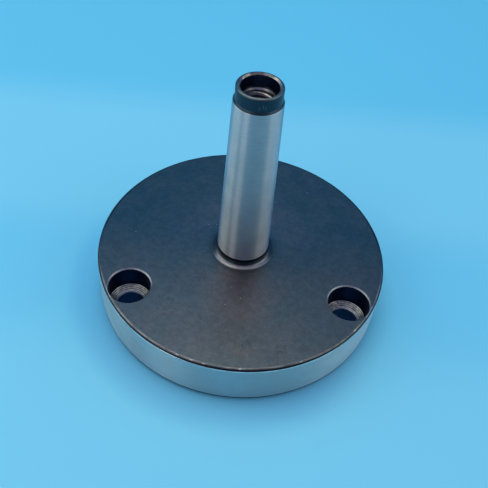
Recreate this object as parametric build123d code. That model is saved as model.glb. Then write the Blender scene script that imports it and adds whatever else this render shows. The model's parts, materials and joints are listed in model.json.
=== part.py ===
from build123d import *
import math
import os

# Lathe chuck backplate, turned from one piece of steel.
# A chuck is screwed under the round plate, and the tapered shank above it plugs
# into the lathe's spindle, where a drawbar pulls on the thread in its end.
# Millimetres. +Z runs up the shank. The origin is the middle of the lowest face.

# Plate
plate_diameter = 100.0
plate_thickness = 17.0
rim_top_chamfer = 0.8
rim_bottom_chamfer = 0.5

# Register that centres the chuck, and the groove cut round its root
register_height = 1.0
register_chamfer = 0.3
root_groove_width = 1.0
root_groove_depth = 0.3

# Self-holding taper number 2: it narrows by 1 mm of diameter in 20.020 mm
gauge_diameter = 17.780
taper_run = 20.020
gauge_to_end = 64.0

# Neck between the plate and the taper, and the sweep from it into the plate
neck_fillet = 2.3
neck_straight = 0.4
neck_relief = 0.3

# Hole for the M10 drawbar: relief, centre cone, then the hole drilled for the thread
drawbar_diameter = 10.0
drawbar_pitch = 1.5
relief_clearance = 0.6
relief_depth = 4.0
relief_mouth_chamfer = 0.5
centre_cone_angle = 60.0
tapping_depth = 34.0
drill_point_angle = 118.0

# Collar round that hole, at the shank's end
collar_wall = 1.3
collar_cone_length = 0.85
collar_length = 4.15
collar_edge_radius = 0.6

# Holes for the chuck's M8 cap screws
screw_count = 3
first_screw_angle = 90.0
screw_diameter = 8.0
screw_head_diameter = 13.0
screw_head_height = 8.0
screw_clearance = 1.0
head_sink = 0.1
rim_wall = 1.0
register_wall = 1.5
counterbore_mouth_chamfer = 0.4
clearance_chamfer = 0.3

# Centre hole in the register's face, from turning between centres
centre_mouth_diameter = 6.7
centre_pilot_diameter = 3.15
centre_pilot_depth = 5.9

# How far a cutting tool starts outside the metal
tool_start = 0.5

# Heights
back_face = register_height
front_face = back_face + plate_thickness
neck_top = front_face + neck_fillet + neck_straight
gauge_line = neck_top + neck_relief
shank_end = gauge_line + gauge_to_end
taper_end = shank_end - collar_length - collar_cone_length

# Radii of the screw holes, and of the 84 mm circle and 72 mm register that they leave room for
plate_radius = plate_diameter / 2
head_radius = (screw_head_diameter + screw_clearance) / 2
hole_radius = (screw_diameter + screw_clearance) / 2
screw_circle_radius = plate_radius - rim_wall - head_radius
register_radius = screw_circle_radius - hole_radius - register_wall

# Radii of the shank and of the hole in its end
gauge_radius = gauge_diameter / 2
neck_radius = gauge_radius - neck_relief
taper_end_radius = gauge_radius - (taper_end - gauge_line) / taper_run / 2
tapping_radius = (drawbar_diameter - drawbar_pitch) / 2
relief_radius = drawbar_diameter / 2 + relief_clearance
collar_radius = relief_radius + collar_wall


def cone_height(outer_radius, inner_radius, full_angle):
    """Height over which a cone of the given full angle closes between two radii."""
    return (outer_radius - inner_radius) / math.tan(math.radians(full_angle / 2))


def turned(outline):
    """Solid of revolution about Z of a half section, given as radius and height."""
    return revolve(Plane.XZ * outline, axis=Axis.Z)


def rounded(outline, corner, radius):
    """The outline with its corner at the given radius and height rounded."""
    nearest = outline.vertices().sort_by_distance((corner[0], corner[1], 0))[0]
    return fillet(nearest, radius)


def blank():
    """The outside as it leaves the lathe, with no hole in it."""
    neck_foot = (neck_radius, front_face)
    collar_edge = (collar_radius, shank_end)
    half_section = make_face(Polyline(
        (0, 0),
        (register_radius - register_chamfer, 0),
        (register_radius, register_chamfer),
        (register_radius, back_face + root_groove_depth),
        (register_radius + root_groove_width, back_face + root_groove_depth),
        (register_radius + root_groove_width, back_face),
        (plate_radius - rim_bottom_chamfer, back_face),
        (plate_radius, back_face + rim_bottom_chamfer),
        (plate_radius, front_face - rim_top_chamfer),
        (plate_radius - rim_top_chamfer, front_face),
        neck_foot,
        (neck_radius, neck_top),
        (gauge_radius, gauge_line),
        (taper_end_radius, taper_end),
        (collar_radius, taper_end + collar_cone_length),
        collar_edge,
        (0, shank_end),
        close=True,
    ))
    half_section = rounded(half_section, neck_foot, neck_fillet)
    half_section = rounded(half_section, collar_edge, collar_edge_radius)
    return turned(half_section)


def end_bore():
    """Relief, centre cone and tapping hole, down from the shank's end."""
    cone_top = shank_end - relief_depth
    cone_foot = cone_top - cone_height(relief_radius, tapping_radius, centre_cone_angle)
    point_top = shank_end - tapping_depth
    return turned(make_face(Polyline(
        (0, shank_end + tool_start),
        (relief_radius + relief_mouth_chamfer + tool_start, shank_end + tool_start),
        (relief_radius, shank_end - relief_mouth_chamfer),
        (relief_radius, cone_top),
        (tapping_radius, cone_foot),
        (tapping_radius, point_top),
        (0, point_top - cone_height(tapping_radius, 0, drill_point_angle)),
        close=True,
    )))


def screw_hole():
    """Counterbore with a drilled floor, and the clearance hole through it."""
    floor_top = front_face - screw_head_height - head_sink
    floor_foot = floor_top - cone_height(head_radius, hole_radius, drill_point_angle)
    return turned(make_face(Polyline(
        (0, front_face + tool_start),
        (head_radius + counterbore_mouth_chamfer + tool_start, front_face + tool_start),
        (head_radius, front_face - counterbore_mouth_chamfer),
        (head_radius, floor_top),
        (hole_radius, floor_foot),
        (hole_radius, back_face + clearance_chamfer),
        (hole_radius + clearance_chamfer + tool_start, back_face - tool_start),
        (0, back_face - tool_start),
        close=True,
    )))


def centre_hole():
    """Centre hole, up from the register's face."""
    mouth_radius = centre_mouth_diameter / 2
    pilot_radius = centre_pilot_diameter / 2
    cone_foot = cone_height(mouth_radius, pilot_radius, centre_cone_angle)
    flare = tool_start * math.tan(math.radians(centre_cone_angle / 2))
    return turned(make_face(Polyline(
        (0, -tool_start),
        (mouth_radius + flare, -tool_start),
        (pilot_radius, cone_foot),
        (pilot_radius, centre_pilot_depth),
        (0, centre_pilot_depth + cone_height(pilot_radius, 0, drill_point_angle)),
        close=True,
    )))


def backplate():
    """The finished piece: the blank with all of its holes."""
    screw_places = PolarLocations(screw_circle_radius, screw_count, first_screw_angle)
    screw_holes = [place * screw_hole() for place in screw_places]
    return blank() - end_bore() - centre_hole() - screw_holes


os.makedirs("parts", exist_ok=True)
export_step(backplate(), "parts/backplate.step")
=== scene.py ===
import json
import math
import bpy
from mathutils import Matrix, Vector


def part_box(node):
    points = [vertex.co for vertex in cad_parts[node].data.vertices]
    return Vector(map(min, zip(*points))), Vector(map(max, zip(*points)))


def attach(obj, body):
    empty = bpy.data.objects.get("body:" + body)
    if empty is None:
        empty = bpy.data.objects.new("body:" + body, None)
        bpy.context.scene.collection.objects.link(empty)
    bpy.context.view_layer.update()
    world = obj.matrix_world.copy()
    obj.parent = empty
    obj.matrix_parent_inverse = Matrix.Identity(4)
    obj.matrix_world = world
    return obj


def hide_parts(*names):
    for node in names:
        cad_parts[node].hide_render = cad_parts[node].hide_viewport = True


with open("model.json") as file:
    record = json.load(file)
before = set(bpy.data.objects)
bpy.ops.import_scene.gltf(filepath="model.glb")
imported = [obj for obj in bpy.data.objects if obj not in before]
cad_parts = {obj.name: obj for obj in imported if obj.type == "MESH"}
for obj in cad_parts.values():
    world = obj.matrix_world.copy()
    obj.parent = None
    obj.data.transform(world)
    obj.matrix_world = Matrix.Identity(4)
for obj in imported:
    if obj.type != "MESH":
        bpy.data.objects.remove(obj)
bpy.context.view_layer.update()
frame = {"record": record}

MM = 0.001
mounts = {mount["name"]: mount for mount in frame["record"]["mounts"]}
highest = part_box("backplate")[1]

# Sizes that the frame gives
plate_radius = highest.x
shank_end = highest.z
register_radius = mounts["chuck_register"]["dims"]["r_mm"] * MM
back_face = mounts["chuck_face"]["pos_m"][2]
gauge_line = mounts["spindle_taper"]["pos_m"][2]
screw_circle_radius = mounts["chuck_screws"]["dims"]["pcd_mm"] / 2 * MM
screw_hole_radius = mounts["chuck_screws"]["dims"]["hole_r_mm"] * MM
screw_count = mounts["chuck_screws"]["dims"]["count"]
tapping_radius = mounts["drawbar_thread"]["dims"]["r_mm"] * MM

# Shank: a number 2 self-holding taper, whose diameter shrinks by 1 in each taper_run of length
gauge_radius = 8.89 * MM
taper_run = 20.020
taper_edge_ease = 0.12 * MM
neck_fillet = 2.3 * MM
neck_straight = 0.4 * MM
neck_relief = 0.3 * MM
neck_radius = gauge_radius - neck_relief
collar_length = 4.15 * MM
collar_cone_length = 0.85 * MM
collar_edge_radius = 0.6 * MM
collar_radius = 6.9 * MM
taper_end = shank_end - collar_length - collar_cone_length
taper_end_radius = gauge_radius - (taper_end - gauge_line) / taper_run / 2

# Plate
front_face = gauge_line - neck_relief - neck_straight - neck_fillet
rim_top_chamfer = 0.8 * MM
rim_bottom_chamfer = 0.5 * MM
rim_edge_ease = 0.30 * MM
face_edge_ease = 0.45 * MM
face_edge = plate_radius - rim_top_chamfer
register_chamfer = 0.3 * MM
root_groove_width = 1.0 * MM
root_groove_depth = 0.3 * MM

# Bore in the shank's end
relief_radius = 5.6 * MM
relief_depth = 4.0 * MM
relief_mouth_chamfer = 0.5 * MM
tapping_depth = 34.0 * MM

# Thread in that bore: its cutter starts inside the tapping hole and runs out into the cone above
thread_radius = 5.0 * MM
thread_pitch = 1.5 * MM
thread_length = 24.0 * MM
thread_overlap = 0.1 * MM
thread_run_out = 0.3 * MM
thread_run_up = 1.3 * thread_pitch

# Screw holes
head_radius = 7.0 * MM
head_depth = 8.1 * MM
head_mouth_chamfer = 0.4 * MM
head_floor_feed = 0.55 * MM
head_floor_groove = 0.05 * MM
screw_hole_chamfer = 0.3 * MM
first_screw_angle = math.radians(90)
screw_angles = [first_screw_angle + turn * 2 * math.pi / screw_count for turn in range(screw_count)]

# Centre hole
centre_mouth_radius = 3.35 * MM
centre_pilot_radius = 1.575 * MM
centre_pilot_depth = 5.9 * MM

# Half angles of the centre cones, the drill points and the thread's tooth
CENTRE_CONE = math.radians(30)
DRILL_POINT = math.radians(59)
THREAD_FLANK = math.radians(30)

# Fineness of the mesh
RING_POINTS = 256
THREAD_POINTS = 128
FILLET_STEPS = 12
COLLAR_EDGE_STEPS = 9
EASE_STEPS = 5
SMOOTH_ANGLE = math.radians(10)

# How far a tool starts outside the metal, how close points count as one, and how far facets lie
# inside their circle
TOOL_START = 0.5 * MM
MERGE = 0.0005 * MM
FACET_SAG = 0.01 * MM

# Black oxide, with the tints of the painted reflections on the face
OXIDE_BLUE = (0.044, 0.074, 0.091, 1)
OXIDE_PAINTED_REFLECTION = (0.104, 0.087, 0.089, 1)
OXIDE_VIOLET = (0.076, 0.086, 0.105, 1)
PAINTED_SHANK_REFLECTION = (0.130, 0.106, 0.115, 1)
DEEP_OXIDE = (0.018, 0.024, 0.030, 1)
SWEEP_OXIDE = (0.040, 0.052, 0.056, 1)
COLLAR_OXIDE = (0.030, 0.052, 0.070, 1)
BORE_OXIDE = (0.018, 0.050, 0.150, 1)
BORE_OXIDE_THIN = (0.026, 0.050, 0.120, 1)

# Oxide that is rubbed thin or through, and the painted highlight on the sweep into the shank
WORN_OXIDE = (0.140, 0.147, 0.145, 1)
RUBBED_OXIDE = (0.21, 0.19, 0.175, 1)
PAINTED_SWEEP_HIGHLIGHT = (0.21, 0.19, 0.195, 1)
BRONZED_OXIDE = (0.16, 0.14, 0.13, 1)
BRONZED_STEEL = (0.42, 0.37, 0.32, 1)
MOUTH_BRIGHT = (0.33, 0.33, 0.35, 1)
MOUTH_DULL = (0.26, 0.26, 0.275, 1)

# Steel, and the painted shade in the drilled floors' grooves, in the thread's roots and on the rim's left
# side
STEEL = (0.50, 0.50, 0.49, 1)
STAINED_STEEL = (0.46, 0.46, 0.45, 1)
BARE_STEEL = (0.55, 0.54, 0.52, 1)
POLISHED_STEEL = (0.70, 0.72, 0.74, 1)
RIM_STEEL = (0.45, 0.53, 0.555, 1)
TAPER_STEEL = (0.515, 0.495, 0.50, 1)
DRILLED_CREST = (0.46, 0.425, 0.385, 1)
PAINTED_GROOVE_SHADE = (0.045, 0.044, 0.048, 1)
DRILLED_LIP = (0.42, 0.41, 0.43, 1)
THREAD_CREST = (0.38, 0.33, 0.31, 1)
PAINTED_THREAD_ROOT_SHADE = (0.03, 0.027, 0.027, 1)
THREAD_LEDGE = (0.56, 0.52, 0.47, 1)
RIM_PAINTED_SHADE = (0.76, 0.83, 0.85)

# Tool marks are spaced by radius plus this many times height, so that slopes of 45 degrees show them too
MARK_RISE = 1.37

# Marks: on the face by millimetres from the axis and degrees round it, on its edge by degrees alone,
# and on the collar by degrees and millimetres down from the shank's end
FACE_SMUDGES = ((43.7, -71.6), (40.7, -85.9), (20.1, -132.7))
FACE_SPECKS = (
    (15.6, 143.4), (13.7, 135.1), (38.2, 52.0), (18.6, -99.3),
    (22.8, -89.0), (26.1, -100.0), (38.0, 175.7),
)
EDGE_NICKS = (-111.4, -105.9, -101.3, -88.2, -66.0, -40.3)
COLLAR_SCUFFS = ((-88.5, 3.0), (-80.0, 2.4), (-74.0, 2.9))

# Floor, in metres: its colour holds painted uneven light, dimmer far off and in a strip next to the plate,
# and a painted shadow at the plate
FLOOR_SIZE = 6
FLOOR_BLUE = (0.20, 0.607, 0.775, 1)
FLOOR_PAINTED_DIM_BLUE = (0.128, 0.55, 0.755, 1)
FLOOR_PAINTED_SHADOW = (0.74, 0.83, 0.93)
PAINTED_SHADOW_SIDE = (-0.6, -0.8, 0)

# Room: its walls, the glow off the table, the shadow of whoever stands at the camera, and its ceiling
DULL_WALL = (0.30, 0.37, 0.50, 1)
BLUE_WALL = (0.09, 0.31, 0.74, 1)
TABLE_GLOW = (0.42, 0.50, 0.56, 1)
CAMERA_SHADOW = (0.15, 0.18, 0.36, 1)
CEILING = (0.85, 1.0, 1.15, 1)
TO_CAMERA = (0, -0.67, 0.74)

# How far from the plate its lamps stand, in metres
LAMP_DISTANCE = 0.8

# Camera: its angles, its lens, and its place over the front face before it is turned about the axis
CAMERA_TURN = math.radians(-2.36)
CAMERA_TILT = math.radians(41.92)
CAMERA_ROLL = math.radians(6.48)
CAMERA_PLACE = (0.43 * MM, -150.36 * MM, 168.85 * MM)
CAMERA_LENS = 47.42
CAMERA_SENSOR = 36


def select_only(piece):
    bpy.ops.object.select_all(action="DESELECT")
    piece.select_set(True)
    bpy.context.view_layer.objects.active = piece


def eased(outline):
    """The outline's points, with a small curve at each corner that gives its reach as a third value."""
    points = []
    for index, corner in enumerate(outline):
        here = Vector(corner[:2])
        if len(corner) == 2:
            points.append(here)
            continue
        before = Vector(outline[index - 1][:2])
        after = Vector(outline[index + 1][:2])
        start = here + (before - here).normalized() * corner[2]
        stop = here + (after - here).normalized() * corner[2]
        for step in range(EASE_STEPS + 1):
            part = step / EASE_STEPS
            points.append(start.lerp(here, part).lerp(here.lerp(stop, part), part))
    return points


def drawn_outline(name, points):
    """A line through points given as radius and height, made by extruding one point along it."""
    bpy.ops.object.select_all(action="DESELECT")
    bpy.ops.mesh.primitive_circle_add(vertices=3, radius=MM)
    piece = bpy.context.active_object
    piece.name = name
    bpy.ops.object.mode_set(mode="EDIT")
    bpy.ops.mesh.select_mode(type="VERT")
    bpy.ops.mesh.select_all(action="SELECT")
    bpy.ops.mesh.merge(type="CENTER")
    here = Vector((0, 0))
    for index, point in enumerate(points):
        step = Vector(point) - here
        move = {"value": (step.x, 0, step.y)}
        if index:
            bpy.ops.mesh.extrude_vertices_move(TRANSFORM_OT_translate=move)
        else:
            bpy.ops.transform.translate(**move)
        here = Vector(point)
    bpy.ops.mesh.select_all(action="SELECT")
    return piece


def turned(name, outline):
    """A round solid about Z, spun from an outline whose two ends lie on the axis."""
    piece = drawn_outline(name, eased(outline))
    bpy.ops.mesh.spin(steps=RING_POINTS, angle=2 * math.pi, center=(0, 0, 0), axis=(0, 0, 1))
    finish_shell()
    return piece


def finish_shell():
    """Merges what the last operator left double, turns all faces outwards and leaves edit mode."""
    bpy.ops.mesh.select_all(action="SELECT")
    bpy.ops.mesh.remove_doubles(threshold=MERGE)
    bpy.ops.mesh.normals_make_consistent(inside=False)
    bpy.ops.object.mode_set(mode="OBJECT")


def arc(centre, radius, start, stop, steps):
    """Points of an arc in radius and height, with the angles in degrees."""
    angles = [math.radians(start + (stop - start) * step / steps) for step in range(steps + 1)]
    return [(centre[0] + radius * math.cos(a), centre[1] + radius * math.sin(a)) for a in angles]


def cut_away(piece, cutter):
    """Takes the cutter's shape out of the piece, and removes the cutter."""
    select_only(piece)
    bpy.ops.object.modifier_add(type="BOOLEAN")
    modifier = piece.modifiers[-1]
    modifier.operation = "DIFFERENCE"
    modifier.solver = "EXACT"
    modifier.object = cutter
    bpy.ops.object.modifier_apply(modifier=modifier.name)
    bpy.data.objects.remove(cutter)


def turned_blank():
    """The whole turning, from the centre hole below to the drawbar hole above, with no screw holes."""
    centre_cone_height = (centre_mouth_radius - centre_pilot_radius) / math.tan(CENTRE_CONE)
    bore_cone_top = shank_end - relief_depth
    bore_cone_foot = bore_cone_top - (relief_radius - tapping_radius) / math.tan(CENTRE_CONE)
    fillet_centre = (neck_radius + neck_fillet, front_face + neck_fillet)
    edge_centre = (collar_radius - collar_edge_radius, shank_end - collar_edge_radius)
    return turned("backplate_turning", [
        (0, centre_pilot_depth + centre_pilot_radius / math.tan(DRILL_POINT)),
        (centre_pilot_radius, centre_pilot_depth),
        (centre_pilot_radius, centre_cone_height),
        (centre_mouth_radius, 0),
        (register_radius - register_chamfer, 0),
        (register_radius, register_chamfer),
        (register_radius, back_face + root_groove_depth),
        (register_radius + root_groove_width, back_face + root_groove_depth),
        (register_radius + root_groove_width, back_face),
        (plate_radius - rim_bottom_chamfer, back_face),
        (plate_radius, back_face + rim_bottom_chamfer, rim_edge_ease),
        (plate_radius, front_face - rim_top_chamfer, rim_edge_ease),
        (face_edge, front_face, face_edge_ease),
        *arc(fillet_centre, neck_fillet, 270, 180, FILLET_STEPS),
        (neck_radius, gauge_line - neck_relief),
        (gauge_radius, gauge_line, taper_edge_ease),
        (taper_end_radius, taper_end, taper_edge_ease),
        (collar_radius, taper_end + collar_cone_length),
        *arc(edge_centre, collar_edge_radius, 0, 90, COLLAR_EDGE_STEPS),
        (relief_radius + relief_mouth_chamfer, shank_end),
        (relief_radius, shank_end - relief_mouth_chamfer),
        (relief_radius, bore_cone_top),
        (tapping_radius, bore_cone_foot),
        (tapping_radius, shank_end - tapping_depth),
        (0, shank_end - tapping_depth - tapping_radius / math.tan(DRILL_POINT)),
    ])


def screw_hole_cutter(angle):
    """Counterbore with a drilled floor and the hole through it, standing at its place on the circle."""
    floor_top = front_face - head_depth
    slope = 1 / math.tan(DRILL_POINT)
    floor_inner = screw_hole_radius + screw_hole_chamfer
    grooves = math.floor((head_radius - floor_inner) / head_floor_feed)
    grooved_floor = []
    for index in range(grooves):
        crest = head_radius - index * head_floor_feed
        trough = crest - head_floor_feed / 2
        grooved_floor.append((crest, floor_top - (head_radius - crest) * slope))
        grooved_floor.append((trough, floor_top - (head_radius - trough) * slope - head_floor_groove))
    floor_foot = floor_top - (head_radius - floor_inner) * slope
    cutter = turned("screw_hole_cutter", [
        (0, front_face + TOOL_START),
        (head_radius + head_mouth_chamfer + TOOL_START, front_face + TOOL_START),
        (head_radius, front_face - head_mouth_chamfer),
        *grooved_floor,
        (floor_inner, floor_foot),
        (screw_hole_radius, floor_foot - screw_hole_chamfer),
        (screw_hole_radius, back_face + screw_hole_chamfer),
        (screw_hole_radius + screw_hole_chamfer + TOOL_START, back_face - TOOL_START),
        (0, back_face - TOOL_START),
    ])
    select_only(cutter)
    cutter.location = screw_axis(angle)
    bpy.ops.object.transform_apply(location=True)
    return cutter


def screw_axis(angle):
    """Where the axis of the screw hole at this angle meets the lowest plane."""
    return (screw_circle_radius * math.cos(angle), screw_circle_radius * math.sin(angle), 0)


def thread_cutter():
    """The screw thread that the drawbar hole is tapped with: one tooth, swept up its helix."""
    root_radius = tapping_radius - thread_overlap
    crest_flat = thread_pitch / 8
    flank = (thread_radius - root_radius) * math.tan(THREAD_FLANK)
    root_flat = thread_pitch - crest_flat - 2 * flank
    cone_depth = relief_depth + (relief_radius - thread_radius) / math.tan(CENTRE_CONE)
    top = shank_end - cone_depth + thread_run_out
    foot = top - thread_length
    start = foot - thread_run_up
    cutter = drawn_outline("thread_cutter", [
        (root_radius, start),
        (root_radius, start + root_flat),
        (thread_radius, start + root_flat + flank),
        (thread_radius, start + root_flat + flank + crest_flat),
        (root_radius, start + thread_pitch),
    ])
    bpy.ops.object.mode_set(mode="OBJECT")
    bpy.ops.object.modifier_add(type="SCREW")
    sweep = cutter.modifiers[-1]
    sweep.screw_offset = thread_pitch
    sweep.iterations = math.ceil(thread_length / thread_pitch) + 2
    sweep.steps = THREAD_POINTS
    sweep.render_steps = THREAD_POINTS
    bpy.ops.object.modifier_apply(modifier=sweep.name)
    bpy.ops.object.mode_set(mode="EDIT")
    bpy.ops.mesh.select_all(action="SELECT")
    bpy.ops.mesh.remove_doubles(threshold=MERGE)
    for height, outwards in ((foot, -1), (top, 1)):
        bpy.ops.mesh.select_all(action="SELECT")
        bpy.ops.mesh.bisect(
            plane_co=(0, 0, height), plane_no=(0, 0, outwards),
            use_fill=True, clear_outer=True, threshold=MERGE,
        )
    finish_shell()
    return cutter


def finish_at(centre):
    """Which finish a face has, by where its middle lies."""
    radius = math.hypot(centre.x, centre.y)
    if centre.z < back_face + root_groove_depth + MERGE and radius < plate_radius - rim_bottom_chamfer:
        return "turned_back"
    if centre.z < front_face and radius < centre_mouth_radius:
        return "turned_back"
    from_screw = min((centre.xy - Vector(screw_axis(angle)).xy).length for angle in screw_angles)
    if centre.z < front_face - MERGE and from_screw < head_radius + head_mouth_chamfer:
        if centre.z > front_face - head_mouth_chamfer:
            return "worn_mouth"
        if centre.z < front_face - head_depth and from_screw > screw_hole_radius:
            return "bored_floor"
        return "bored_wall"
    if radius > plate_radius - rim_edge_ease and centre.z > back_face + rim_bottom_chamfer + rim_edge_ease:
        if centre.z < front_face - rim_top_chamfer - rim_edge_ease:
            return "ground_rim"
        if radius > plate_radius - rim_edge_ease / 2:
            return "rubbed_edge"
    if front_face + MERGE < centre.z < gauge_line - neck_relief and radius > neck_radius:
        return "neck_sweep"
    if gauge_line - MERGE < centre.z < taper_end + taper_edge_ease and radius > relief_radius:
        return "ground_taper"
    if centre.z > gauge_line and radius < relief_radius + relief_mouth_chamfer:
        if centre.z > shank_end - relief_mouth_chamfer:
            return "bared_edge"
        if radius > relief_radius - FACET_SAG:
            return "bored_wall"
        return "tapped_thread"
    return "blackened_steel"


def backplate():
    """The turning with its screw holes and its thread cut, and each face in its finish."""
    piece = turned_blank()
    for angle in screw_angles:
        cut_away(piece, screw_hole_cutter(angle))
    cut_away(piece, thread_cutter())
    select_only(piece)
    bpy.ops.object.shade_smooth_by_angle(angle=SMOOTH_ANGLE)
    bpy.ops.object.modifier_add(type="WEIGHTED_NORMAL")
    weighted = piece.modifiers[-1]
    weighted.keep_sharp = True
    weighted.weight = 100
    bpy.ops.object.modifier_apply(modifier=weighted.name)
    finishes = list(FINISHES)
    for finish in finishes:
        piece.data.materials.append(FINISHES[finish]())
    for face in piece.data.polygons:
        face.material_index = finishes.index(finish_at(face.center))
    return piece


def add(tree, kind, *inputs, output=0, **settings):
    """Adds a node, gives it its settings, fills its inputs in order and returns one of its outputs."""
    node = tree.nodes.new("ShaderNode" + kind)
    for setting, value in settings.items():
        setattr(node, setting, value)
    for socket, value in zip(node.inputs, inputs):
        if isinstance(value, bpy.types.NodeSocket):
            tree.links.new(value, socket)
        elif value is not None:
            socket.default_value = value
    return node.outputs[output]


def metal(name, roughness, anisotropy):
    """A metal whose gloss is drawn out across the marks that run round the turning axis."""
    material = bpy.data.materials.new(name)
    material.use_nodes = True
    tree = material.node_tree
    shader = tree.nodes["Principled BSDF"]
    shader.inputs["Metallic"].default_value = 1
    shader.inputs["Roughness"].default_value = roughness
    shader.inputs["Anisotropic"].default_value = anisotropy
    shader.inputs["Anisotropic Rotation"].default_value = 0.25
    place = add(tree, "TexCoord", output="Object")
    around = add(tree, "VectorMath", (0, 0, 1), place, operation="CROSS_PRODUCT")
    tree.links.new(add(tree, "VectorMath", around, operation="NORMALIZE"), shader.inputs["Tangent"])
    return material, tree, shader, place


def paint(tree, shader, colour):
    tree.links.new(colour, shader.inputs["Base Color"])


def coordinate(tree, place, letter):
    return add(tree, "SeparateXYZ", place, output=letter)


def flattened(tree, place):
    """The place, brought down to the lowest plane."""
    return add(tree, "VectorMath", place, (1, 1, 0), operation="MULTIPLY")


def from_axis(tree, place):
    """Distance from the turning axis."""
    return add(tree, "VectorMath", flattened(tree, place), operation="LENGTH", output="Value")


def outward(tree, place):
    """Direction away from the turning axis."""
    return add(tree, "VectorMath", flattened(tree, place), operation="NORMALIZE")


def blotches(tree, place, size, least, most):
    """Cloudy patches of about the given size, from least to most in strength."""
    cloud = add(tree, "TexNoise", place, None, 1 / size, 3, 0.6)
    return add(tree, "MapRange", cloud, 0.36, 0.64, least, most, interpolation_type="SMOOTHSTEP")


def tool_marks(tree, place, pitch, turns, least, most):
    """Fine lines round the turning axis, a pitch apart, that come and go some turns times on their way."""
    radius = from_axis(tree, place)
    along = add(tree, "Math", coordinate(tree, place, "Z"), MARK_RISE, radius, operation="MULTIPLY_ADD")
    lines = add(tree, "CombineXYZ", 0, 0, add(tree, "Math", along, 1 / pitch, operation="MULTIPLY"))
    about = add(tree, "VectorMath", outward(tree, place), (turns, turns, 0), operation="MULTIPLY")
    marks = add(tree, "TexNoise", add(tree, "VectorMath", about, lines, operation="ADD"), None, 1, 2, 0.5)
    return add(tree, "MapRange", marks, 0.3, 0.7, least, most)


def band(tree, value, start, full):
    """0 before start, 1 past full, with a soft step between them."""
    return add(tree, "MapRange", value, start, full, interpolation_type="SMOOTHSTEP")


def multiplied(tree, first, *others):
    for other in others:
        first = add(tree, "Math", first, other, operation="MULTIPLY")
    return first


def stronger(tree, first, second):
    """The larger of two amounts."""
    return add(tree, "Math", first, second, operation="MAXIMUM")


def spots(tree, place, centres, size):
    """1 in each round spot, and 0 elsewhere."""
    covered = 0
    for centre in centres:
        gap = add(tree, "VectorMath", place, centre, operation="DISTANCE", output="Value")
        spot = add(tree, "MapRange", gap, size / 4, size / 2, 1, 0)
        covered = stronger(tree, spot, covered)
    return covered


def streaks(tree, place, centres, width):
    """1 in each upright streak, three times as long as it is wide, and 0 elsewhere."""
    shorter = Vector((1, 1, 1 / 3))
    squeezed = add(tree, "VectorMath", place, shorter, operation="MULTIPLY")
    return spots(tree, squeezed, [Vector(centre) * shorter for centre in centres], width)


def dust(tree, place, spacing, size):
    """1 in small specks, scattered a spacing apart, and 0 elsewhere."""
    gap = add(tree, "TexVoronoi", place, None, 1 / spacing)
    return add(tree, "MapRange", gap, size / spacing / 4, size / spacing / 2, 1, 0)


def tinted(tree, amount, first, second):
    """From the first colour to the second, by the amount."""
    return add(tree, "MixRGB", amount, first, second)


def brightened(tree, colour, factor):
    """The colour times a grey factor."""
    return add(tree, "VectorMath", colour, None, None, factor, operation="SCALE")


def filtered(tree, colour, tint):
    """The colour times a tint."""
    return add(tree, "VectorMath", colour, tint, operation="MULTIPLY")


def carve(tree, shader, height, depth):
    """Relief of the given depth in the surface."""
    bump = tree.nodes.new("ShaderNodeBump")
    bump.inputs["Distance"].default_value = depth
    tree.links.new(height, bump.inputs["Height"])
    tree.links.new(bump.outputs["Normal"], shader.inputs["Normal"])


def on_face(radius, angle):
    """A place on the front face."""
    turn = math.radians(angle)
    return (radius * MM * math.cos(turn), radius * MM * math.sin(turn), front_face)


def on_collar(angle, drop):
    """A place on the collar's side, so far below the shank's end."""
    turn = math.radians(angle)
    return (collar_radius * math.cos(turn), collar_radius * math.sin(turn), shank_end - drop * MM)


def face_oxide(tree, place):
    """Blue oxide, with a painted brown reflection on the near side, a painted reflection of the shank in
    front of it and a violet cloud round the shank.
    """
    radius = from_axis(tree, place)
    along = coordinate(tree, place, "Y")
    aside = add(tree, "Math", coordinate(tree, place, "X"), operation="ABSOLUTE")
    # Painted reflection: the face's near side is tinted brown for the warm light it mirrors
    painted_near_side = band(tree, along, 12 * MM, -14 * MM)
    painted_brown_reflection = multiplied(tree, painted_near_side, blotches(tree, place, 9 * MM, 0.5, 0.72))
    # Painted reflection of the shank: a brown wedge on the face in front of it
    painted_shank_reflection = multiplied(
        tree, band(tree, aside, 15 * MM, 3 * MM), band(tree, along, -9 * MM, -16 * MM),
        band(tree, along, -38 * MM, -24 * MM), 0.6,
    )
    cloud = multiplied(
        tree, band(tree, radius, 31 * MM, 20 * MM), band(tree, radius, 11 * MM, 16 * MM),
        band(tree, along, -8 * MM, 8 * MM), blotches(tree, place, 6 * MM, 0.6, 1.0),
    )
    violet = stronger(tree, cloud, blotches(tree, place, 8 * MM, 0, 0.2))
    colour = tinted(tree, painted_brown_reflection, OXIDE_BLUE, OXIDE_PAINTED_REFLECTION)
    colour = tinted(tree, painted_shank_reflection, colour, PAINTED_SHANK_REFLECTION)
    return tinted(tree, violet, colour, OXIDE_VIOLET)


def face_marks(tree, place, colour):
    """The colour with its grain, painted shade round the shank's foot, and turning marks and smudges over
    it.
    """
    for grain in (0.7 * MM, 2.2 * MM):
        colour = brightened(tree, colour, blotches(tree, place, grain, 0.93, 1.07))
    foot = neck_radius + neck_fillet
    # Painted shade round the shank's foot
    painted_foot_shade = add(tree, "MapRange", from_axis(tree, place), foot, foot + 1.8 * MM, 0.8, 1)
    colour = brightened(tree, colour, painted_foot_shade)
    colour = brightened(tree, colour, tool_marks(tree, place, 0.35 * MM, 6, 0.96, 1.04))
    smudges = spots(tree, place, [on_face(*smudge) for smudge in FACE_SMUDGES], 5 * MM)
    smudges = multiplied(tree, smudges, blotches(tree, place, 0.8 * MM, -0.1, 0.35))
    return tinted(tree, smudges, colour, DEEP_OXIDE)


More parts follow.
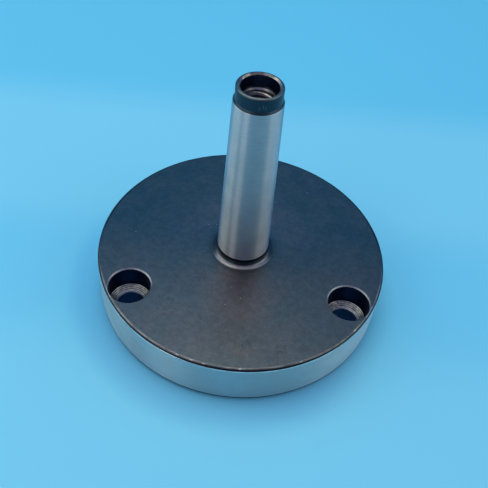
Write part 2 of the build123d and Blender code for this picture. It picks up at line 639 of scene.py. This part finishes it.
def collar_oxide(tree, place, colour):
    """The colour with the collar's oxide over it, scuffed on the side and worn on the end's near half."""
    height = coordinate(tree, place, "Z")
    side = multiplied(
        tree, band(tree, height, taper_end, taper_end + 0.3 * MM),
        band(tree, height, shank_end - 0.25 * MM, shank_end - 0.5 * MM),
    )
    colour = tinted(tree, side, colour, COLLAR_OXIDE)
    scuffs = streaks(tree, place, [on_collar(*scuff) for scuff in COLLAR_SCUFFS], 0.5 * MM)
    colour = tinted(tree, multiplied(tree, scuffs, 0.35), colour, RUBBED_OXIDE)
    near_end = multiplied(
        tree, band(tree, height, shank_end - 0.42 * MM, shank_end - 0.14 * MM),
        band(tree, coordinate(tree, place, "Y"), 5 * MM, -2 * MM), blotches(tree, place, 2.5 * MM, 0.65, 1),
    )
    return tinted(tree, near_end, colour, WORN_OXIDE)


def on_face_level(tree, place):
    """1 on the front face and the upper half of its eased edge, and 0 below that."""
    return band(tree, coordinate(tree, place, "Z"), front_face - 0.24 * MM, front_face - 0.16 * MM)


def edge_oxide(tree, place, colour):
    """The colour with the plate's edges over it: black, but rubbed light along the face's near edge."""
    radius = from_axis(tree, place)
    along = coordinate(tree, place, "Y")
    chamfers = multiplied(
        tree, band(tree, radius, plate_radius - MM, plate_radius - 0.7 * MM),
        band(tree, coordinate(tree, place, "Z"), front_face - 0.24 * MM, front_face - 0.32 * MM),
    )
    colour = tinted(tree, chamfers, colour, DEEP_OXIDE)
    rubbed = multiplied(
        tree, band(tree, radius, face_edge - 0.4 * MM, face_edge - 0.1 * MM), on_face_level(tree, place),
        blotches(tree, place, 4 * MM, 0.15, 1.0), band(tree, along, 0, -15 * MM),
    )
    colour = tinted(tree, rubbed, colour, RUBBED_OXIDE)
    far_edge = multiplied(
        tree, band(tree, radius, face_edge - 0.5 * MM, face_edge - 0.2 * MM), band(tree, along, 0, 10 * MM),
    )
    return tinted(tree, far_edge, colour, DEEP_OXIDE)


def bared_spots(tree, place):
    """How far bare steel shows: in nicks along the face's near edge, and in specks on the face."""
    nicks = multiplied(
        tree, spots(tree, place, [on_face(face_edge / MM, angle) for angle in EDGE_NICKS], 1.3 * MM),
        band(tree, from_axis(tree, place), face_edge - 0.15 * MM, face_edge - 0.05 * MM),
        on_face_level(tree, place), blotches(tree, place, 1.5 * MM, 0.4, 1),
    )
    specks = spots(tree, place, [on_face(*speck) for speck in FACE_SPECKS], 0.4 * MM)
    return stronger(tree, nicks, multiplied(tree, specks, 0.6))


def blackened_steel():
    """Black oxide over fine turning marks, on the front face, the plate's edges and the collar."""
    material, tree, shader, place = metal("blackened_steel", 0.395, 0.3)
    colour = face_marks(tree, place, face_oxide(tree, place))
    colour = collar_oxide(tree, place, colour)
    colour = edge_oxide(tree, place, colour)
    colour = tinted(tree, bared_spots(tree, place), colour, BARE_STEEL)
    fine_dust = multiplied(tree, dust(tree, place, 7 * MM, 0.25 * MM), 0.4)
    paint(tree, shader, tinted(tree, fine_dust, colour, BARE_STEEL))
    tree.links.new(blotches(tree, place, 8 * MM, 0.37, 0.42), shader.inputs["Roughness"])
    carve(tree, shader, tool_marks(tree, place, 0.25 * MM, 8, 0, 1), 0.0006 * MM)
    return material


def neck_sweep():
    """The sweep up into the shank: black, with painted shade on its near side and a painted highlight on the
    near side of its foot.
    """
    material, tree, shader, place = metal("neck_sweep", 0.36, 0.0)
    height = coordinate(tree, place, "Z")
    # Painted shade: the sweep is made black on its near side
    painted_near_side = band(tree, coordinate(tree, outward(tree, place), "Y"), -0.25, -0.65)
    colour = tinted(tree, painted_near_side, SWEEP_OXIDE, DEEP_OXIDE)
    # Painted highlight on the near side of the sweep's foot
    foot = multiplied(
        tree, band(tree, height, front_face + 0.75 * MM, front_face + 0.45 * MM), painted_near_side,
        blotches(tree, place, 3 * MM, 0.8, 1),
    )
    paint(tree, shader, tinted(tree, foot, colour, PAINTED_SWEEP_HIGHLIGHT))
    return material


def bored_wall():
    """Deep black oxide on the walls of the holes, over faint rings of the drill."""
    material, tree, shader, place = metal("bored_wall", 0.33, 0.0)
    paint(tree, shader, tinted(tree, blotches(tree, place, 2.5 * MM, 0, 1), BORE_OXIDE, BORE_OXIDE_THIN))
    carve(tree, shader, tool_marks(tree, place, 0.5 * MM, 1, 0, 1), 0.004 * MM)
    return material


def rubbed_edge():
    """The rim's upper edge, polished bright by handling."""
    material, tree, shader, place = metal("rubbed_edge", 0.24, 0.0)
    paint(tree, shader, tinted(tree, blotches(tree, place, 5 * MM, 0, 1), STEEL, POLISHED_STEEL))
    return material


def worn_mouth():
    """The counterbores' mouths, where the oxide is rubbed off the sharp edge."""
    material, tree, shader, place = metal("worn_mouth", 0.45, 0.0)
    paint(tree, shader, tinted(tree, blotches(tree, place, 3 * MM, 0, 1), MOUTH_BRIGHT, MOUTH_DULL))
    return material


def from_nearest_screw(tree, place):
    """Distance from the axis of the nearest screw hole."""
    nearest = plate_radius
    for angle in screw_angles:
        level = flattened(tree, place)
        gap = add(tree, "VectorMath", level, screw_axis(angle), operation="DISTANCE", output="Value")
        nearest = add(tree, "Math", gap, nearest, operation="MINIMUM")
    return nearest


def bored_floor():
    """Drilled steel, bright on the crests that the drill left and at its lip, with painted shade in its
    grooves.
    """
    material, tree, shader, place = metal("bored_floor", 0.34, 0.0)
    from_screw = from_nearest_screw(tree, place)
    feeds = add(tree, "Math", from_screw, 1 / head_floor_feed, operation="MULTIPLY")
    crest = band(tree, add(tree, "Math", feeds, 0.5, operation="PINGPONG"), 0.10, 0.30)
    crest = multiplied(tree, crest, blotches(tree, place, 1.2 * MM, 0.35, 1.0))
    # Painted shade in the grooves that the drill left
    colour = tinted(tree, crest, PAINTED_GROOVE_SHADE, DRILLED_CREST)
    lip = band(tree, from_screw, screw_hole_radius + 0.5 * MM, screw_hole_radius + 0.35 * MM)
    paint(tree, shader, tinted(tree, lip, colour, DRILLED_LIP))
    return material


def turned_back():
    """Bright steel with the fine spiral that the facing tool leaves."""
    material, tree, shader, place = metal("turned_back", 0.27, 0.6)
    colour = tinted(tree, blotches(tree, place, 12 * MM, 0, 1), STEEL, STAINED_STEEL)
    paint(tree, shader, brightened(tree, colour, tool_marks(tree, place, 0.3 * MM, 2, 0.88, 1.08)))
    carve(tree, shader, tool_marks(tree, place, 0.22 * MM, 1, 0, 1), 0.002 * MM)
    return material


def ground(name, roughness, anisotropy, steel):
    """Ground steel, and its colour: fine lines round the axis and faint clouds of stain."""
    material, tree, shader, place = metal(name, roughness, anisotropy)
    stain = multiplied(tree, blotches(tree, place, 9 * MM, 0, 1), 0.5)
    colour = tinted(tree, stain, steel, STAINED_STEEL)
    colour = brightened(tree, colour, tool_marks(tree, place, 0.12 * MM, 3, 0.93, 1.07))
    colour = brightened(tree, colour, tool_marks(tree, place, 0.7 * MM, 2, 0.96, 1.04))
    gloss = multiplied(tree, blotches(tree, place, 5 * MM, 0.95, 1.05), roughness)
    tree.links.new(gloss, shader.inputs["Roughness"])
    carve(tree, shader, tool_marks(tree, place, 0.10 * MM, 5, 0, 1), 0.0006 * MM)
    return material, tree, shader, place, colour


def ground_rim():
    """The ground rim, with painted shade on its left side and along its lower edge."""
    material, tree, shader, place, colour = ground("ground_rim", 0.38, 0.9, RIM_STEEL)
    # Painted shade on the rim's left side
    painted_shade_left_side = band(tree, coordinate(tree, outward(tree, place), "X"), -0.4, -0.85)
    colour = tinted(tree, painted_shade_left_side, colour, filtered(tree, colour, RIM_PAINTED_SHADE))
    lower_edge = back_face + rim_bottom_chamfer + rim_edge_ease
    # Painted shade: a dark line along the rim's lower edge
    oxide = band(tree, coordinate(tree, place, "Z"), lower_edge + 0.35 * MM, lower_edge + 0.2 * MM)
    paint(tree, shader, tinted(tree, oxide, colour, DEEP_OXIDE))
    return material


def ground_taper():
    """The ground taper, with a painted highlight along its lower edge."""
    material, tree, shader, place, colour = ground("ground_taper", 0.35, 0.95, TAPER_STEEL)
    # Painted highlight: a bright line along the taper's lower edge
    rubbed = band(tree, coordinate(tree, place, "Z"), gauge_line + 0.4 * MM, gauge_line + 0.2 * MM)
    paint(tree, shader, tinted(tree, multiplied(tree, rubbed, 0.7), colour, POLISHED_STEEL))
    return material


def bared_edge():
    """The bore's mouth, rubbed through to bronze and bright steel in places."""
    material, tree, shader, place = metal("bared_edge", 0.34, 0.0)
    paint(tree, shader, tinted(tree, blotches(tree, place, 2.2 * MM, 0, 1), BRONZED_OXIDE, BRONZED_STEEL))
    return material


def tapped_thread():
    """Tapped steel: brown crests with painted shade in the roots, a bright ledge above them and black oxide
    outside that.
    """
    material, tree, shader, place = metal("tapped_thread", 0.30, 0.0)
    radius = from_axis(tree, place)
    # Painted shade in the thread's roots
    root = band(tree, radius, tapping_radius + 0.15 * MM, thread_radius)
    ledge = band(tree, radius, thread_radius - 0.05 * MM, thread_radius + 0.1 * MM)
    outer_cone = band(tree, radius, thread_radius + 0.26 * MM, thread_radius + 0.38 * MM)
    colour = tinted(tree, root, THREAD_CREST, PAINTED_THREAD_ROOT_SHADE)
    colour = tinted(tree, ledge, colour, THREAD_LEDGE)
    colour = tinted(tree, outer_cone, colour, DEEP_OXIDE)
    paint(tree, shader, brightened(tree, colour, blotches(tree, place, 0.8 * MM, 0.8, 1.2)))
    return material


FINISHES = {
    "blackened_steel": blackened_steel,
    "neck_sweep": neck_sweep,
    "bored_wall": bored_wall,
    "rubbed_edge": rubbed_edge,
    "worn_mouth": worn_mouth,
    "bored_floor": bored_floor,
    "turned_back": turned_back,
    "ground_rim": ground_rim,
    "ground_taper": ground_taper,
    "bared_edge": bared_edge,
    "tapped_thread": tapped_thread,
}


def floor():
    """A matt pale blue floor with painted uneven light, dimmer far off and in a strip next to the plate, and
    a painted shadow close to the plate on the side where its lamps don't reach.
    """
    bpy.ops.object.select_all(action="DESELECT")
    bpy.ops.mesh.primitive_plane_add(size=FLOOR_SIZE)
    piece = bpy.context.active_object
    piece.name = "floor"
    material = bpy.data.materials.new("pale_blue_floor")
    material.use_nodes = True
    tree = material.node_tree
    shader = tree.nodes["Principled BSDF"]
    shader.inputs["Roughness"].default_value = 0.7
    place = add(tree, "TexCoord", output="Object")
    away = coordinate(tree, place, "Y")
    # Painted uneven light: the floor is dimmer far off and in a strip next to the plate
    painted_dim_strip = multiplied(tree, band(tree, away, -0.045, -0.010), band(tree, away, 0.040, 0.010), 0.6)
    painted_dim_light = stronger(tree, band(tree, away, 0.090, 0.125), painted_dim_strip)
    colour = tinted(tree, painted_dim_light, FLOOR_BLUE, FLOOR_PAINTED_DIM_BLUE)
    # Painted shadow close to the plate, on the side where the lamps don't reach
    facing = add(
        tree, "VectorMath", outward(tree, place), PAINTED_SHADOW_SIDE, operation="DOT_PRODUCT", output="Value",
    )
    close = band(tree, from_axis(tree, place), 0.065, 0.056)
    shade = multiplied(tree, close, band(tree, facing, -0.1, 0.6))
    paint(tree, shader, tinted(tree, shade, colour, filtered(tree, colour, FLOOR_PAINTED_SHADOW)))
    piece.data.materials.append(material)


def camera():
    """The photograph's camera: it looks down past the shank, a little from the left and rolled."""
    turn = Matrix.Rotation(CAMERA_TURN, 4, "Z")
    aim = turn @ Matrix.Rotation(CAMERA_TILT, 4, "X") @ Matrix.Rotation(CAMERA_ROLL, 4, "Z")
    place = turn @ Vector(CAMERA_PLACE) + Vector((0, 0, front_face))
    bpy.ops.object.camera_add()
    eye = bpy.context.active_object
    eye.name = "camera"
    eye.data.sensor_width = CAMERA_SENSOR
    eye.data.lens = CAMERA_LENS
    eye.data.clip_start = 0.01
    eye.matrix_world = Matrix.Translation(place) @ aim
    bpy.context.scene.camera = eye


def lamp(name, azimuth, elevation, width, height, brightness, colour):
    """A soft lamp that faces the plate from the given side, unseen by the camera."""
    across = math.cos(math.radians(elevation))
    direction = Vector((
        across * math.cos(math.radians(azimuth)),
        across * math.sin(math.radians(azimuth)),
        math.sin(math.radians(elevation)),
    ))
    bpy.ops.object.light_add(type="AREA", location=Vector((0, 0, back_face)) + LAMP_DISTANCE * direction)
    light = bpy.context.active_object
    light.name = name
    light.data.shape = "RECTANGLE"
    light.data.size = width
    light.data.size_y = height
    light.data.energy = brightness * math.pi * width * height
    light.data.color = colour
    light.rotation_euler = direction.to_track_quat("Z", "Y").to_euler()
    light.visible_camera = False


def lamps():
    """Soft lamps overhead and on both sides: direction in degrees, size in metres, brightness and colour."""
    lamp("overhead_softbox", 110, 77, 0.50, 0.36, 2.1, (0.92, 0.84, 0.66))
    lamp("back_softbox", 110, 57, 0.50, 0.36, 0.45, (0.15, 0.9, 1))
    lamp("high_right_softbox", 60, 66, 0.30, 0.50, 0.25, (0.4, 1, 0.3))
    lamp("high_left_softbox", 165, 64, 0.30, 0.50, 1.35, (0.85, 1, 0.93))
    lamp("left_back_panel", 180, 22, 0.62, 0.75, 1.35, (1, 1, 0.80))
    lamp("left_front_panel", 227, 22, 0.31, 0.75, 1.1, (1, 1, 1))
    lamp("right_panel", 353, 22, 0.84, 0.75, 1.0, (1, 1, 0.86))


def room():
    """A room with a pale ceiling, blue behind the plate and dark behind the camera."""
    world = bpy.data.worlds.new("studio")
    bpy.context.scene.world = world
    world.use_nodes = True
    tree = world.node_tree
    direction = add(tree, "TexCoord", output="Generated")
    along = coordinate(tree, direction, "Y")
    upward = coordinate(tree, direction, "Z")
    to_camera = add(tree, "VectorMath", direction, TO_CAMERA, operation="DOT_PRODUCT", output="Value")
    table_side = multiplied(tree, band(tree, along, -0.25, -0.60), band(tree, upward, 0.52, 0.34))
    colour = tinted(tree, band(tree, along, -0.7, 0.7), DULL_WALL, BLUE_WALL)
    colour = tinted(tree, table_side, colour, TABLE_GLOW)
    colour = tinted(tree, band(tree, to_camera, 0.64, 0.94), colour, CAMERA_SHADOW)
    colour = tinted(tree, band(tree, upward, 0.84, 0.96), colour, CEILING)
    tree.links.new(colour, tree.nodes["Background"].inputs["Color"])


turning = backplate()
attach(turning, "root")
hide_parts("backplate")
floor()
camera()
room()
lamps()
bpy.context.scene.view_settings.view_transform = "Standard"
